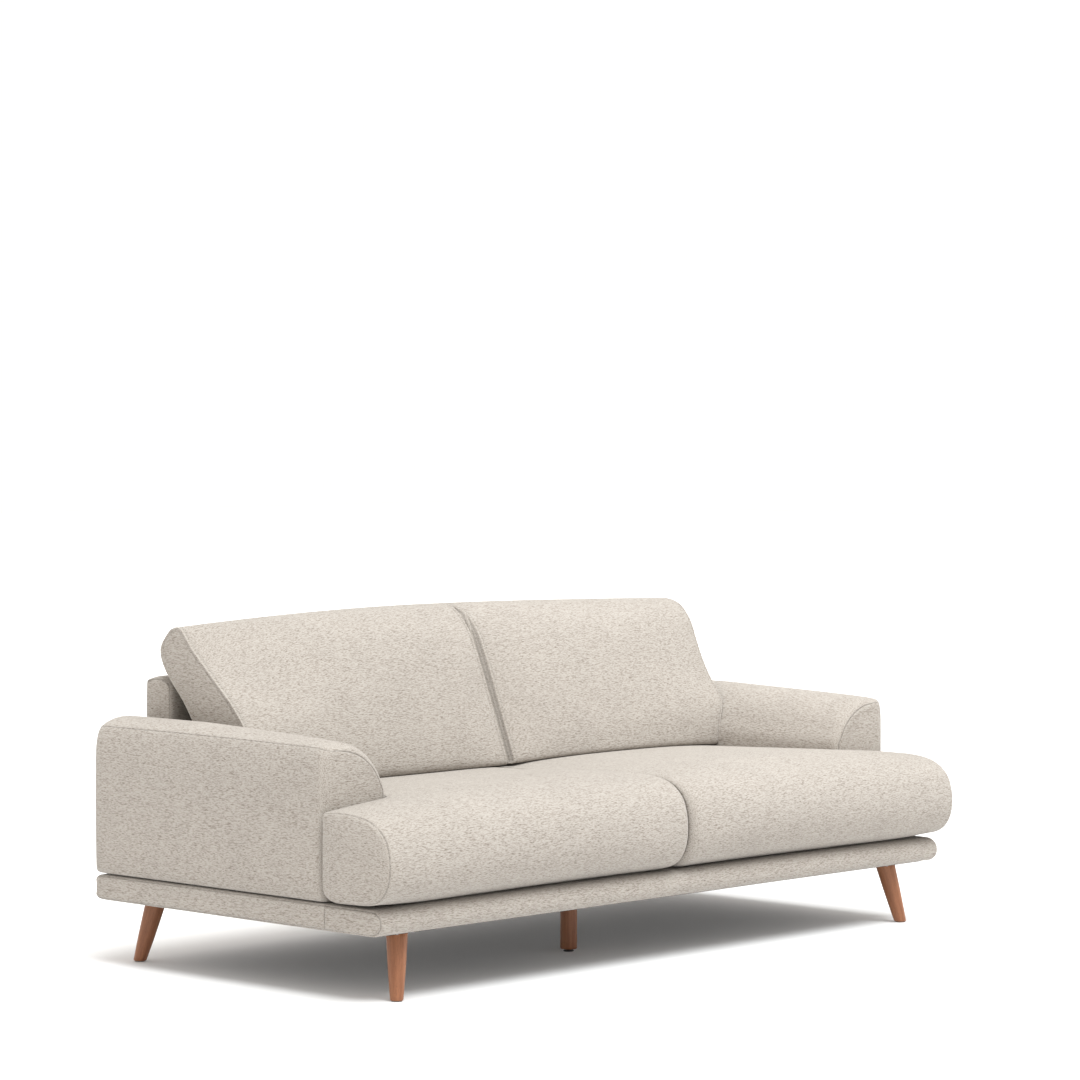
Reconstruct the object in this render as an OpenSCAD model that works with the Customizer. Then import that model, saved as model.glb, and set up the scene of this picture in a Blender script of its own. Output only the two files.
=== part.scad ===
// Two-seat sofa with loose cushions on a padded platform and splayed wooden legs.
// Millimetres, +Z up, front towards -Y. The origin is on the floor, under the middle of the overall box.

/* [Overall] */
// Width over the arms and the platform
body_w = 2080; // [2000:10:2200]
// Width over the outer ends of the seat cushions
cushion_span = 2106; // [2086:2:2140]
// Depth from the front of the seat cushions to the rear face
depth = 1056; // [1046:2:1066]
// Height of the platform's underside above the floor
platform_z = 158; // [150:1:170]
// Thickness of the padded platform
platform_t = 64; // [60:1:70]

/* [Arms] */
// Width of each arm
arm_w = 200; // [180:5:220]
// Height of the arm's crown above the floor
arm_top = 595; // [570:5:620]
// Radius of the rounded shoulder along the arm's inner top edge
shoulder_r = 120; // [90:5:125]
// How far the arm's front face stands behind the cushion's front
arm_setback = 241; // [230:1:260]

/* [Back] */
// Height of the padded back frame above the floor
back_top = 702; // [680:2:720]
// Thickness of the padded back frame
back_t = 96; // [90:1:110]
// How far the back frame is let into each arm
back_let_in = 40; // [30:1:44]

/* [Cushions] */
// Height of the seat cushions' top above the floor
seat_top = 448; // [440:1:460]
// Radius of the seat cushion's front edge
seat_nose_r = 104; // [80:2:108]
// Height of the back cushions' highest edge
back_cushion_top = 860; // [850:1:870]
// Gap between the two cushions of a pair, measured from the centre line
half_gap = 2; // [1:0.5:6]
// Thickness of a sewn cover with its fibre lining
cover_t = 5; // [4:0.5:8]

/* [Legs] */
// Radius of a corner leg at the floor
leg_foot_r = 15.3; // [12:0.1:20]
// Radius of a corner leg at its top
leg_top_r = 25.5; // [20:0.1:30]
// How far each foot stands outwards of the leg's top, along X and along Y
leg_splay = 30; // [0:1:40]
// Radius of the straight centre leg
centre_leg_r = 21.5; // [18:0.5:25]
// Centre leg's place, measured along X from the middle
centre_leg_x = -75; // [-110:1:-65]
// Centre leg's place, measured along Y from the middle
centre_leg_y = -163; // [-250:1:0]

/* [Zips] */
// Length of a zip
zip_len = 640; // [400:10:700]

/* [Hidden] */
$fn = 48;
soft_fn = 32;
air = 0.3;
skin = 4;

x_out = body_w / 2;
x_in = x_out - arm_w;
y_rear = depth / 2;
y_nose = -depth / 2;
arm_front = y_nose + arm_setback;
cushion_end = cushion_span / 2;

// Platform
platform_front = y_nose + 49;
platform_top = platform_z + platform_t;
bull_r = platform_t / 2;
platform_rear_r = 15;
dust_t = 3;
rail_t = 30;
rail_z0 = platform_z + skin + air;
rail_z1 = platform_top - 11;
side_rail_x = x_out - 65;
front_rail_y = platform_front + bull_r;
rear_rail_y = y_rear - 66;
inner_y0 = front_rail_y + rail_t + air;
inner_y1 = rear_rail_y - air;
webbing_t = 2;
webbing_w = 60;
webbing_z = rail_z1 + air;
deck_z0 = webbing_z + webbing_t + air;
deck_z1 = platform_top - skin - air;
cross_x = 500;

// Legs
plate_t = 2.7;
plate_w = 64;
plate_z = platform_z - plate_t - air;
leg_z1 = plate_z - air;
pad_h = 2.2;
foot_inset_x = x_out - 942;
front_foot_y = platform_front + 52;
rear_foot_y = y_rear - 49;
leg_tilt = atan2(sqrt(2) * leg_splay, leg_z1);
leg_len = leg_z1 / cos(leg_tilt);
bolt_r = 4;
bolt_in_leg = 34;
bolt_above = 44;
screw_r = 2;
screw_at = 25;
screw_len = 20;
bolt_head_r = 7;
bolt_head_h = 6;
frame_bolt_len = 90;
block_x0 = x_out - 176;
block_x1 = side_rail_x - air;
block_d = 76;
centre_leg_z0 = 7;
foot_disc_r = 13.5;
foot_disc_h = 5;
stem_r = 3.9;
insert_r = 7;
insert_len = 23;

// Arms
arm_z0 = platform_top + 1;
arm_frame_x0 = x_out - 110;
arm_frame_x1 = x_out - 30;
arm_frame_y0 = arm_front + 45;
arm_frame_y1 = y_rear - 110;
arm_frame_z0 = arm_z0 + 8;
arm_frame_z1 = arm_top - 95;
post_t = 30;
arm_bolt_x = side_rail_x + rail_t / 2;
arm_bolt_y = [-150, 300];

// Back
back_front = y_rear - back_t;
back_x = x_in + back_let_in;
back_r = 34;
back_rail_y0 = back_front + 24;
back_rail_y1 = back_rail_y0 + rail_t;
back_frame_z0 = arm_z0 + 8;
back_frame_z1 = back_top - 32;
back_bottom_h = 50;
back_top_h = 40;
back_post_w = 40;
back_posts_x = [-840, -280, 280, 840];
back_bolt_x = [-600, -200, 200, 600];
back_bolt_y = rear_rail_y + 12;
back_strap_t = 2;

// Cushions
seat_z0 = platform_top + 1.5;
seat_rear = back_front - 8;
seat_ear_rear = arm_front - 4;
seat_side = x_in - 4;
back_cushion_z0 = seat_top + 2;
back_cushion_end = x_in + 36;
back_cushion_low_end = x_in - 6;
shoulder_clear_z = 573;
// Outline of a back cushion in Y and Z, as circles: bottom front, bottom rear, top rear, top front, belly
cushion_low_r = 14;
cushion_front_y = 122;
cushion_rear_y = 296;
cushion_top_rear = [412, 782, 44];
cushion_top_front = [346, back_cushion_top - 56, 56];
cushion_belly = [272, 718, 70];

wood = [0.80, 0.62, 0.42];
beech = [0.66, 0.38, 0.22];
steel = [0.70, 0.70, 0.72];
linen = [0.80, 0.74, 0.66];
foam = [0.93, 0.90, 0.78];
black = [0.08, 0.08, 0.08];
felt = [0.35, 0.32, 0.30];

// ---- helpers ----

// A box from its lowest and highest corners
module span(lo, hi) {
  translate(lo) cube([hi[0] - lo[0], hi[1] - lo[1], hi[2] - lo[2]]);
}

// An outline in Y and Z, extruded from x0 to x1
module along_x(x0, x1) {
  translate([x0, 0, 0]) rotate([90, 0, 90]) linear_extrude(x1 - x0) children();
}

// An outline in X and Z, extruded from y0 to y1
module along_y(y0, y1) {
  translate([0, y1, 0]) rotate([90, 0, 0]) linear_extrude(y1 - y0) children();
}

// The outline round a set of circles [x, y, r], drawn in by an inset
module round_outline(corners, inset = 0) {
  hull() {
    for (c = corners) translate([c[0], c[1]]) circle(c[2] - inset, $fn = soft_fn);
  }
}

// Draws its children as made for the right side, or mirrored to the left
module on_side(right) {
  mirror([right ? 0 : 1, 0, 0]) children();
}

// ---- platform ----

module platform_body(inset) {
  along_x(-x_out + inset, x_out - inset)
    round_outline([
      [platform_front + bull_r, platform_z + bull_r, bull_r],
      [y_rear - platform_rear_r, platform_z + platform_rear_r, platform_rear_r],
      [y_rear - platform_rear_r, platform_top - platform_rear_r, platform_rear_r]
    ], inset);
}

module front_rail() {
  color(wood) difference() {
    span([-side_rail_x - rail_t, front_rail_y, rail_z0],
         [side_rail_x + rail_t, front_rail_y + rail_t, rail_z1]);
    plate_screw_shafts(screw_r + air / 2);
  }
}

module rear_rail() {
  color(wood) difference() {
    span([-side_rail_x - rail_t, rear_rail_y, rail_z0],
         [side_rail_x + rail_t, rear_rail_y + rail_t, rail_z1]);
    plate_screw_shafts(screw_r + air / 2);
    back_bolt_shafts(bolt_r + air);
    back_bolt_heads(air);
  }
}

module side_rail(right) {
  on_side(right) difference() {
    span([side_rail_x, inner_y0, rail_z0], [side_rail_x + rail_t, inner_y1, rail_z1]);
    arm_bolt_shafts(bolt_r + air);
    arm_bolt_heads(air);
  }
}

module side_rail_left() { color(wood) side_rail(false); }
module side_rail_right() { color(wood) side_rail(true); }

module cross_rail(x) {
  color(wood) span([x - 20, inner_y0, rail_z0], [x + 20, inner_y1, rail_z1]);
}

module cross_rail_left() { cross_rail(-cross_x); }
module cross_rail_centre() { cross_rail(0); }
module cross_rail_right() { cross_rail(cross_x); }

module corner_blocks() {
  color(wood) for (sx = [-1, 1]) for (rear = [false, true]) difference() {
    on_side(sx > 0) span(
      [block_x0, rear ? inner_y1 - block_d : inner_y0, rail_z0],
      [block_x1, rear ? inner_y1 : inner_y0 + block_d, rail_z1]);
    leg_axis(sx, rear) cylinder(r = insert_r + air, h = leg_len + 90);
    plate_screw_shafts(screw_r + air / 2);
  }
}

module centre_leg_block() {
  color(wood) difference() {
    span([centre_leg_x - 38, centre_leg_y - 50, rail_z0], [-20 - air, centre_leg_y + 50, rail_z1]);
    translate([centre_leg_x, centre_leg_y, 0]) cylinder(r = insert_r + air, h = platform_top);
    plate_screw_shafts(screw_r + air / 2);
  }
}

module seat_webbing() {
  color(black) for (i = [-6:6]) {
    x = i * 140;
    span([x - webbing_w / 2, front_rail_y + 6, webbing_z],
         [x + webbing_w / 2, rear_rail_y + rail_t - 6, webbing_z + webbing_t]);
  }
}

module deck_pad() {
  color(foam) span([-x_out + 155, front_rail_y + 4, deck_z0], [x_out - 155, back_front - 8, deck_z1]);
}

module platform_padding() {
  color(foam) difference() {
    platform_body(skin + air);
    span([-side_rail_x - rail_t - air, front_rail_y - air, 0],
         [side_rail_x + rail_t + air, rear_rail_y + rail_t + air, platform_top + 1]);
  }
}

module platform_cover() {
  color(linen) difference() {
    platform_body(0);
    platform_body(skin);
    span([-side_rail_x - rail_t, front_rail_y + air, platform_z - 1],
         [side_rail_x + rail_t, rear_rail_y + rail_t, platform_z + skin + 1]);
    arm_bolt_pair_shafts(bolt_r + 1);
    back_bolt_shafts(bolt_r + 1);
  }
}

module dust_cover() {
  color(felt) difference() {
    span([-side_rail_x - rail_t + 1, front_rail_y + 1, platform_z + air],
         [side_rail_x + rail_t - 1, rear_rail_y + rail_t - 1, platform_z + air + dust_t]);
    for (sx = [-1, 1]) for (rear = [false, true])
      leg_axis(sx, rear) cylinder(r = insert_r + 1, h = leg_len + 90);
    translate([centre_leg_x, centre_leg_y, 0]) cylinder(r = insert_r + 1, h = platform_top);
    plate_screw_shafts(screw_r + air);
  }
}

// ---- legs ----

// The tilted axis of a corner leg: +Z of its children runs from the foot's centre on the floor to the top
module leg_axis(sx, rear) {
  foot_y = rear ? rear_foot_y : front_foot_y;
  inward = rear ? -1 : 1;
  translate([sx * (x_out - foot_inset_x), foot_y, 0])
    rotate([0, leg_tilt, atan2(inward, -sx)]) children();
}

// Centres of the leg plates, at the legs' tops
function plate_centres() = concat(
  [for (sx = [-1, 1]) [sx * (x_out - foot_inset_x - leg_splay), front_foot_y + leg_splay]],
  [for (sx = [-1, 1]) [sx * (x_out - foot_inset_x - leg_splay), rear_foot_y - leg_splay]],
  [[centre_leg_x, centre_leg_y]]
);

module corner_leg(sx, rear) {
  chamfer = 3;
  color(beech) difference() {
    intersection() {
      leg_axis(sx, rear) union() {
        translate([0, 0, 7]) cylinder(
          r1 = leg_foot_r + (leg_top_r - leg_foot_r) * 7 / leg_len,
          r2 = leg_top_r + (leg_top_r - leg_foot_r) * 10 / leg_len,
          h = leg_len + 3, $fn = 64);
        translate([0, 0, 7 - chamfer]) cylinder(
          r1 = leg_foot_r - chamfer / 2,
          r2 = leg_foot_r + (leg_top_r - leg_foot_r) * 7 / leg_len,
          h = chamfer, $fn = 64);
        translate([0, 0, -8]) cylinder(r = leg_foot_r - chamfer / 2, h = 15 - chamfer, $fn = 64);
      }
      translate([-x_out, -y_rear, pad_h]) cube([2 * x_out, 2 * y_rear, leg_z1 - pad_h]);
    }
    leg_axis(sx, rear) translate([0, 0, leg_len - bolt_in_leg - 2])
      cylinder(r = bolt_r + air / 2, h = bolt_in_leg + 40);
  }
}

module leg_front_left() { corner_leg(-1, false); }
module leg_front_right() { corner_leg(1, false); }
module leg_rear_left() { corner_leg(-1, true); }
module leg_rear_right() { corner_leg(1, true); }

module foot_pads() {
  color(felt) for (sx = [-1, 1]) for (y = [front_foot_y, rear_foot_y])
    translate([sx * (x_out - foot_inset_x), y, 0]) cylinder(r = leg_foot_r - 3, h = pad_h);
}

module leg_plates() {
  color(steel) difference() {
    for (c = plate_centres())
      translate([c[0] - plate_w / 2, c[1] - plate_w / 2, plate_z]) cube([plate_w, plate_w, plate_t]);
    for (sx = [-1, 1]) for (rear = [false, true])
      leg_axis(sx, rear) cylinder(r = bolt_r + 0.6, h = leg_len + 40);
    translate([centre_leg_x, centre_leg_y, 0]) cylinder(r = bolt_r + 0.6, h = platform_top);
    plate_screw_shafts(screw_r + air / 2);
  }
}

// The shafts of the wood screws that hold the leg plates
module plate_screw_shafts(r) {
  for (c = plate_centres()) for (dx = [-1, 1]) for (dy = [-1, 1])
    translate([c[0] + dx * screw_at, c[1] + dy * screw_at, plate_z - 1]) cylinder(r = r, h = screw_len);
}

module plate_screws() {
  color(steel) {
    plate_screw_shafts(screw_r);
    for (c = plate_centres()) for (dx = [-1, 1]) for (dy = [-1, 1])
      translate([c[0] + dx * screw_at, c[1] + dy * screw_at, plate_z - 1.5]) cylinder(r = 3.6, h = 1.2);
  }
}

module hanger_bolts() {
  color(steel) {
    for (sx = [-1, 1]) for (rear = [false, true])
      leg_axis(sx, rear) translate([0, 0, leg_len - bolt_in_leg])
        cylinder(r = bolt_r, h = bolt_in_leg + bolt_above);
    translate([centre_leg_x, centre_leg_y, leg_z1 - bolt_in_leg])
      cylinder(r = bolt_r, h = bolt_in_leg + bolt_above);
  }
}

module nut_tube() {
  difference() {
    cylinder(r = insert_r, h = 16);
    translate([0, 0, -1]) cylinder(r = bolt_r + air / 2, h = 18);
  }
}

module leg_nuts() {
  color(steel) {
    for (sx = [-1, 1]) for (rear = [false, true])
      leg_axis(sx, rear) translate([0, 0, leg_len + 14]) nut_tube();
    translate([centre_leg_x, centre_leg_y, leg_z1 + 14]) nut_tube();
  }
}

module centre_leg() {
  color(beech) translate([centre_leg_x, centre_leg_y, 0]) difference() {
    translate([0, 0, centre_leg_z0]) cylinder(r = centre_leg_r, h = leg_z1 - centre_leg_z0, $fn = 64);
    translate([0, 0, centre_leg_z0 - 1]) cylinder(r = insert_r + air / 2, h = insert_len + 2);
    cylinder(r = bolt_r + 0.5, h = 62);
    translate([0, 0, leg_z1 - bolt_in_leg - 2]) cylinder(r = bolt_r + air / 2, h = bolt_in_leg + 4);
  }
}

module levelling_insert() {
  color(steel) translate([centre_leg_x, centre_leg_y, centre_leg_z0]) difference() {
    cylinder(r = insert_r, h = insert_len);
    translate([0, 0, -1]) cylinder(r = stem_r + 0.1, h = insert_len + 2);
  }
}

module levelling_foot() {
  color(black) translate([centre_leg_x, centre_leg_y, 0]) {
    cylinder(r = foot_disc_r, h = foot_disc_h);
    cylinder(r = stem_r, h = 48);
  }
}

// ---- arms ----

module arm_body(inset) {
  top_r = 18;
  base_r = 12;
  front_r = 42;
  rear_r = 24;
  inner_r = 14;
  difference() {
    intersection() {
      along_y(arm_front + inset, y_rear - inset)
        round_outline([
          [x_in + base_r, arm_z0 + base_r, base_r],
          [x_out - base_r, arm_z0 + base_r, base_r],
          [x_out - top_r, arm_top - 8 - top_r, top_r],
          [x_in + shoulder_r, arm_top - shoulder_r, shoulder_r]
        ], inset);
      linear_extrude(arm_top + 20)
        round_outline([
          [x_in + inner_r, arm_front + inner_r, inner_r],
          [x_out - front_r, arm_front + front_r, front_r],
          [x_out - rear_r, y_rear - rear_r, rear_r],
          [x_in + inner_r, y_rear - inner_r, inner_r]
        ], inset);
    }
    span([0, back_front - 2 - inset, 0], [back_x + 2 + inset, y_rear + 1, arm_top + 20]);
  }
}

module arm_bolt_shafts(r) {
  for (y = arm_bolt_y) translate([arm_bolt_x, y, rail_z0 + bolt_head_h])
    cylinder(r = r, h = frame_bolt_len);
}

module arm_bolt_pair_shafts(r) {
  arm_bolt_shafts(r);
  mirror([1, 0, 0]) arm_bolt_shafts(r);
}

module arm_bolt_heads(clearance) {
  for (y = arm_bolt_y) translate([arm_bolt_x, y, rail_z0 - clearance])
    cylinder(r = bolt_head_r + clearance, h = bolt_head_h + 2 * clearance);
}

module arm_posts(right) {
  color(wood) on_side(right) for (y = [arm_frame_y0, arm_frame_y1 - post_t])
    span([arm_frame_x0, y, arm_frame_z0 + post_t + air],
         [arm_frame_x1, y + post_t, arm_frame_z1 - post_t - air]);
}

module arm_posts_left() { arm_posts(false); }
module arm_posts_right() { arm_posts(true); }

module arm_rail(right, z) {
  color(wood) on_side(right) difference() {
    span([arm_frame_x0, arm_frame_y0, z], [arm_frame_x1, arm_frame_y1, z + post_t]);
    arm_bolt_shafts(bolt_r + air);
  }
}

module arm_top_rail_left() { arm_rail(false, arm_frame_z1 - post_t); }
module arm_top_rail_right() { arm_rail(true, arm_frame_z1 - post_t); }
module arm_bottom_rail_left() { arm_rail(false, arm_frame_z0); }
module arm_bottom_rail_right() { arm_rail(true, arm_frame_z0); }

module arm_padding(right) {
  color(foam) on_side(right) difference() {
    arm_body(cover_t + air);
    span([arm_frame_x0 - air, arm_frame_y0 - air, arm_frame_z0 - air],
         [arm_frame_x1 + air, arm_frame_y1 + air, arm_frame_z1 + air]);
    arm_bolt_shafts(bolt_r + 1);
  }
}

module arm_padding_left() { arm_padding(false); }
module arm_padding_right() { arm_padding(true); }

module arm_cover(right) {
  color(linen) on_side(right) difference() {
    arm_body(0);
    arm_body(cover_t);
    arm_bolt_shafts(bolt_r + 1);
  }
}

module arm_cover_left() { arm_cover(false); }
module arm_cover_right() { arm_cover(true); }

// ---- back ----

module back_body(inset) {
  along_x(-back_x + inset, back_x - inset)
    round_outline([
      [back_front + 10, arm_z0 + 10, 10],
      [y_rear - 10, arm_z0 + 10, 10],
      [y_rear - back_r + 8, back_top - back_r + 8, back_r - 8],
      [back_front + back_r, back_top - back_r, back_r]
    ], inset);
}

module back_bolt_shafts(r) {
  for (x = back_bolt_x) translate([x, back_bolt_y, rail_z0 + bolt_head_h])
    cylinder(r = r, h = frame_bolt_len);
}

module back_bolt_heads(clearance) {
  for (x = back_bolt_x) translate([x, back_bolt_y, rail_z0 - clearance])
    cylinder(r = bolt_head_r + clearance, h = bolt_head_h + 2 * clearance);
}

// The identical bolts that hold the arms and the back to the platform's rails
module frame_bolts() {
  color(steel) {
    arm_bolt_pair_shafts(bolt_r);
    for (right = [false, true]) on_side(right) arm_bolt_heads(0);
    back_bolt_shafts(bolt_r);
    back_bolt_heads(0);
  }
}

module back_bottom_rail() {
  color(wood) difference() {
    span([-back_x + 20, back_rail_y0, back_frame_z0],
         [back_x - 20, back_rail_y1, back_frame_z0 + back_bottom_h]);
    back_bolt_shafts(bolt_r + air);
  }
}

module back_top_rail() {
  color(wood) span([-back_x + 20, back_rail_y0, back_frame_z1 - back_top_h],
                   [back_x - 20, back_rail_y1, back_frame_z1]);
}

module back_posts() {
  color(wood) for (x = back_posts_x)
    span([x - back_post_w / 2, back_rail_y0, back_frame_z0 + back_bottom_h + air],
         [x + back_post_w / 2, back_rail_y1, back_frame_z1 - back_top_h - air]);
}

module back_webbing() {
  color(black) for (i = [0:3]) {
    z = back_frame_z0 + 90 + i * 90;
    span([-back_x + 22, back_rail_y0 - air - back_strap_t, z], [back_x - 22, back_rail_y0 - air, z + 50]);
  }
}

module back_padding() {
  color(foam) difference() {
    back_body(cover_t + air);
    span([-back_x + 20 - air, back_rail_y0 - 2 * air - back_strap_t, back_frame_z0 - air],
         [back_x - 20 + air, back_rail_y1 + air, back_frame_z1 + air]);
    back_bolt_shafts(bolt_r + 1);
  }
}

module back_cover() {
  color(linen) difference() {
    back_body(0);
    back_body(cover_t);
    back_bolt_shafts(bolt_r + 1);
  }
}

// ---- seat cushions: a block between the arms with an ear in front of the arm ----

module seat_body(inset) {
  r_rear = 30;
  union() {
    along_x(half_gap + inset, seat_side - inset)
      round_outline([
        [y_nose + seat_nose_r, seat_z0 + seat_nose_r, seat_nose_r],
        [y_nose + seat_nose_r, seat_top - seat_nose_r, seat_nose_r],
        [seat_rear - r_rear, seat_z0 + r_rear, r_rear],
        [seat_rear - r_rear, seat_top - r_rear, r_rear]
      ], inset);
    along_x(half_gap + inset, cushion_end - inset)
      round_outline([
        [y_nose + seat_nose_r, seat_z0 + seat_nose_r, seat_nose_r],
        [y_nose + seat_nose_r, seat_top - seat_nose_r, seat_nose_r],
        [seat_ear_rear - r_rear, seat_z0 + r_rear, r_rear],
        [seat_ear_rear - r_rear, seat_top - r_rear, r_rear]
      ], inset);
  }
}

module seat_core(right) {
  color(foam) on_side(right) seat_body(cover_t + air);
}

module seat_cover(right) {
  color(linen) on_side(right) difference() {
    seat_body(0);
    seat_body(cover_t);
  }
}

module seat_core_left() { seat_core(false); }
module seat_core_right() { seat_core(true); }
module seat_cover_left() { seat_cover(false); }
module seat_cover_right() { seat_cover(true); }

// A zip in the middle of the cushion's rear face, and its slider at the inner end
zip_t = 1.2;
zip_x0 = (seat_side + half_gap - zip_len) / 2;
zip_z = (seat_z0 + seat_top) / 2;

module seat_zip(right) {
  color(felt) on_side(right)
    span([zip_x0, seat_rear + air, zip_z - 7], [zip_x0 + zip_len, seat_rear + air + zip_t, zip_z + 7]);
}

// The slider's body with its pull tab hanging below, its back on the plane y
module zip_slider(x, y, z) {
  union() {
    span([x, y, z - 5], [x + 12, y + 2, z + 5]);
    span([x + 3, y + 0.5, z - 26], [x + 9, y + 2, z - 5]);
  }
}

module seat_zip_slider(right) {
  color(steel) on_side(right) zip_slider(zip_x0, seat_rear + 2 * air + zip_t, zip_z);
}

module seat_zip_left() { seat_zip(false); }
module seat_zip_right() { seat_zip(true); }
module seat_zip_slider_left() { seat_zip_slider(false); }
module seat_zip_slider_right() { seat_zip_slider(true); }

// ---- back cushions: a leaning block whose upper part widens over the arm's shoulder ----

function cushion_outline() = [
  [cushion_front_y + cushion_low_r, back_cushion_z0 + cushion_low_r, cushion_low_r],
  [cushion_rear_y - cushion_low_r, back_cushion_z0 + cushion_low_r, cushion_low_r],
  cushion_top_rear,
  cushion_top_front,
  cushion_belly
];

module back_cushion_body(inset) {
  union() {
    along_x(half_gap + 4 + inset, back_cushion_low_end - inset) round_outline(cushion_outline(), inset);
    intersection() {
      along_x(half_gap + 4 + inset, back_cushion_end - inset) round_outline(cushion_outline(), inset);
      span([0, -y_rear, shoulder_clear_z + inset], [x_out, y_rear, back_cushion_top + 1]);
    }
  }
}

module back_core(right) {
  color(foam) on_side(right) back_cushion_body(cover_t + air);
}

module back_cushion_cover(right) {
  color(linen) on_side(right) difference() {
    back_cushion_body(0);
    back_cushion_body(cover_t);
  }
}

module back_core_left() { back_core(false); }
module back_core_right() { back_core(true); }
module back_cushion_cover_left() { back_cushion_cover(false); }
module back_cushion_cover_right() { back_cushion_cover(true); }

// The frame of the flat part of the cushion's rear face: +Y of the children points out of it, +Z up along it
rear_low = [cushion_rear_y - cushion_low_r, back_cushion_z0 + cushion_low_r];
rear_run = [cushion_top_rear[0] - rear_low[0], cushion_top_rear[1] - rear_low[1]];
rear_lean = atan2(rear_run[0], rear_run[1]) + asin((cushion_top_rear[2] - cushion_low_r) / norm(rear_run));

module on_rear_face() {
  translate([0, rear_low[0], rear_low[1]]) rotate([-rear_lean, 0, 0])
    translate([0, cushion_low_r, 0]) children();
}

back_zip_x0 = (back_cushion_low_end + half_gap - zip_len) / 2;
back_zip_up = 48;

module back_zip(right) {
  color(felt) on_side(right) on_rear_face()
    span([back_zip_x0, air, back_zip_up - 7], [back_zip_x0 + zip_len, air + zip_t, back_zip_up + 7]);
}

module back_zip_slider(right) {
  color(steel) on_side(right) on_rear_face() zip_slider(back_zip_x0, 2 * air + zip_t, back_zip_up);
}

module back_zip_left() { back_zip(false); }
module back_zip_right() { back_zip(true); }
module back_zip_slider_left() { back_zip_slider(false); }
module back_zip_slider_right() { back_zip_slider(true); }

front_rail();
rear_rail();
side_rail_left();
side_rail_right();
cross_rail_left();
cross_rail_centre();
cross_rail_right();
corner_blocks();
centre_leg_block();
seat_webbing();
deck_pad();
platform_padding();
platform_cover();
dust_cover();
leg_front_left();
leg_front_right();
leg_rear_left();
leg_rear_right();
foot_pads();
leg_plates();
plate_screws();
hanger_bolts();
leg_nuts();
centre_leg();
levelling_insert();
levelling_foot();
arm_posts_left();
arm_posts_right();
arm_top_rail_left();
arm_top_rail_right();
arm_bottom_rail_left();
arm_bottom_rail_right();
arm_padding_left();
arm_padding_right();
arm_cover_left();
arm_cover_right();
back_bottom_rail();
back_top_rail();
back_posts();
back_webbing();
back_padding();
back_cover();
frame_bolts();
seat_core_left();
seat_core_right();
seat_cover_left();
seat_cover_right();
back_core_left();
back_core_right();
back_cushion_cover_left();
back_cushion_cover_right();
seat_zip_left();
seat_zip_right();
seat_zip_slider_left();
seat_zip_slider_right();
back_zip_left();
back_zip_right();
back_zip_slider_left();
back_zip_slider_right();
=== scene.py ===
"""Looks of a two-seat sofa on wooden legs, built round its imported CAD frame.

Shapes are worked out in millimetres, in the CAD model's own frame: the front looks towards -Y, pieces
named left are at -X, Z is up, and the floor is at zero. Every soft piece starts as the skin of a block of
cells, placed by formulas. A cloth simulation swells it, and then it gets its sewn seams.
"""

import math

import bmesh
import bpy
import numpy as np
from mathutils import Matrix, Vector
from mathutils.bvhtree import BVHTree
from mathutils.kdtree import KDTree


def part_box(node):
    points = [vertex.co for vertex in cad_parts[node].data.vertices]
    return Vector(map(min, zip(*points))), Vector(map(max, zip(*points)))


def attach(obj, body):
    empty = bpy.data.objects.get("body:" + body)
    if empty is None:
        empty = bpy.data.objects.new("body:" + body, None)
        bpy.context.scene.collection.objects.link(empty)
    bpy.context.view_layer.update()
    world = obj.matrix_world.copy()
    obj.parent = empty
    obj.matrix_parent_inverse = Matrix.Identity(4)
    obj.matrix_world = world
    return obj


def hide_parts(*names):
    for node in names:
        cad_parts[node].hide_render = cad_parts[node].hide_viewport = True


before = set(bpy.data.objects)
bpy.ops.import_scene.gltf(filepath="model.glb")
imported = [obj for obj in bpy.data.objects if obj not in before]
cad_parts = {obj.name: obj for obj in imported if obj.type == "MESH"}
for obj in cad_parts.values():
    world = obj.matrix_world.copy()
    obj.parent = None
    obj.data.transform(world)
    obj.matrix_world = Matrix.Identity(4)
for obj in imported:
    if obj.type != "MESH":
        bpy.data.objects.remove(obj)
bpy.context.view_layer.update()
MM = 0.001
scene = bpy.context.scene


def box_mm(node):
    """Lowest and highest corner of a CAD node, in millimetres."""
    low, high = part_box(node)
    return np.array(low) / MM, np.array(high) / MM


# ---- what the frame says, in millimetres ----

PLATFORM_LOW, PLATFORM_HIGH = box_mm("platform_cover")
ARM_LOW, ARM_HIGH = box_mm("arm_cover_right")
BACK_LOW, BACK_HIGH = box_mm("back_cover")
SEAT_LOW, SEAT_HIGH = box_mm("seat_cover_right")
CUSHION_HIGH = box_mm("back_cushion_cover_right")[1]

CELL = 21.0
EAR_REAR = ARM_LOW[1] - 4  # where a seat's ear ends, in front of the arm
SEAT_SIDE = ARM_LOW[0] - 4  # where a seat ends, beside the arm
SHOULDER_R = 120.0  # the arm's rounded inner shoulder
SHOULDER_X = ARM_LOW[0] + SHOULDER_R
SHOULDER_Z = ARM_HIGH[2] - SHOULDER_R


# ---- small maths ----

def lerp(a, b, t):
    return a + (b - a) * t


def clamp(t, low=0.0, high=1.0):
    return min(max(t, low), high)


def smooth(t):
    t = clamp(t)
    return t * t * (3 - 2 * t)


def rounding(distance, reach, drop):
    """How far a surface has dropped at this distance from an edge rounded over reach by drop in all."""
    t = clamp(1 - distance / reach)
    return drop * (1 - math.sqrt(1 - t * t))


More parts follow.
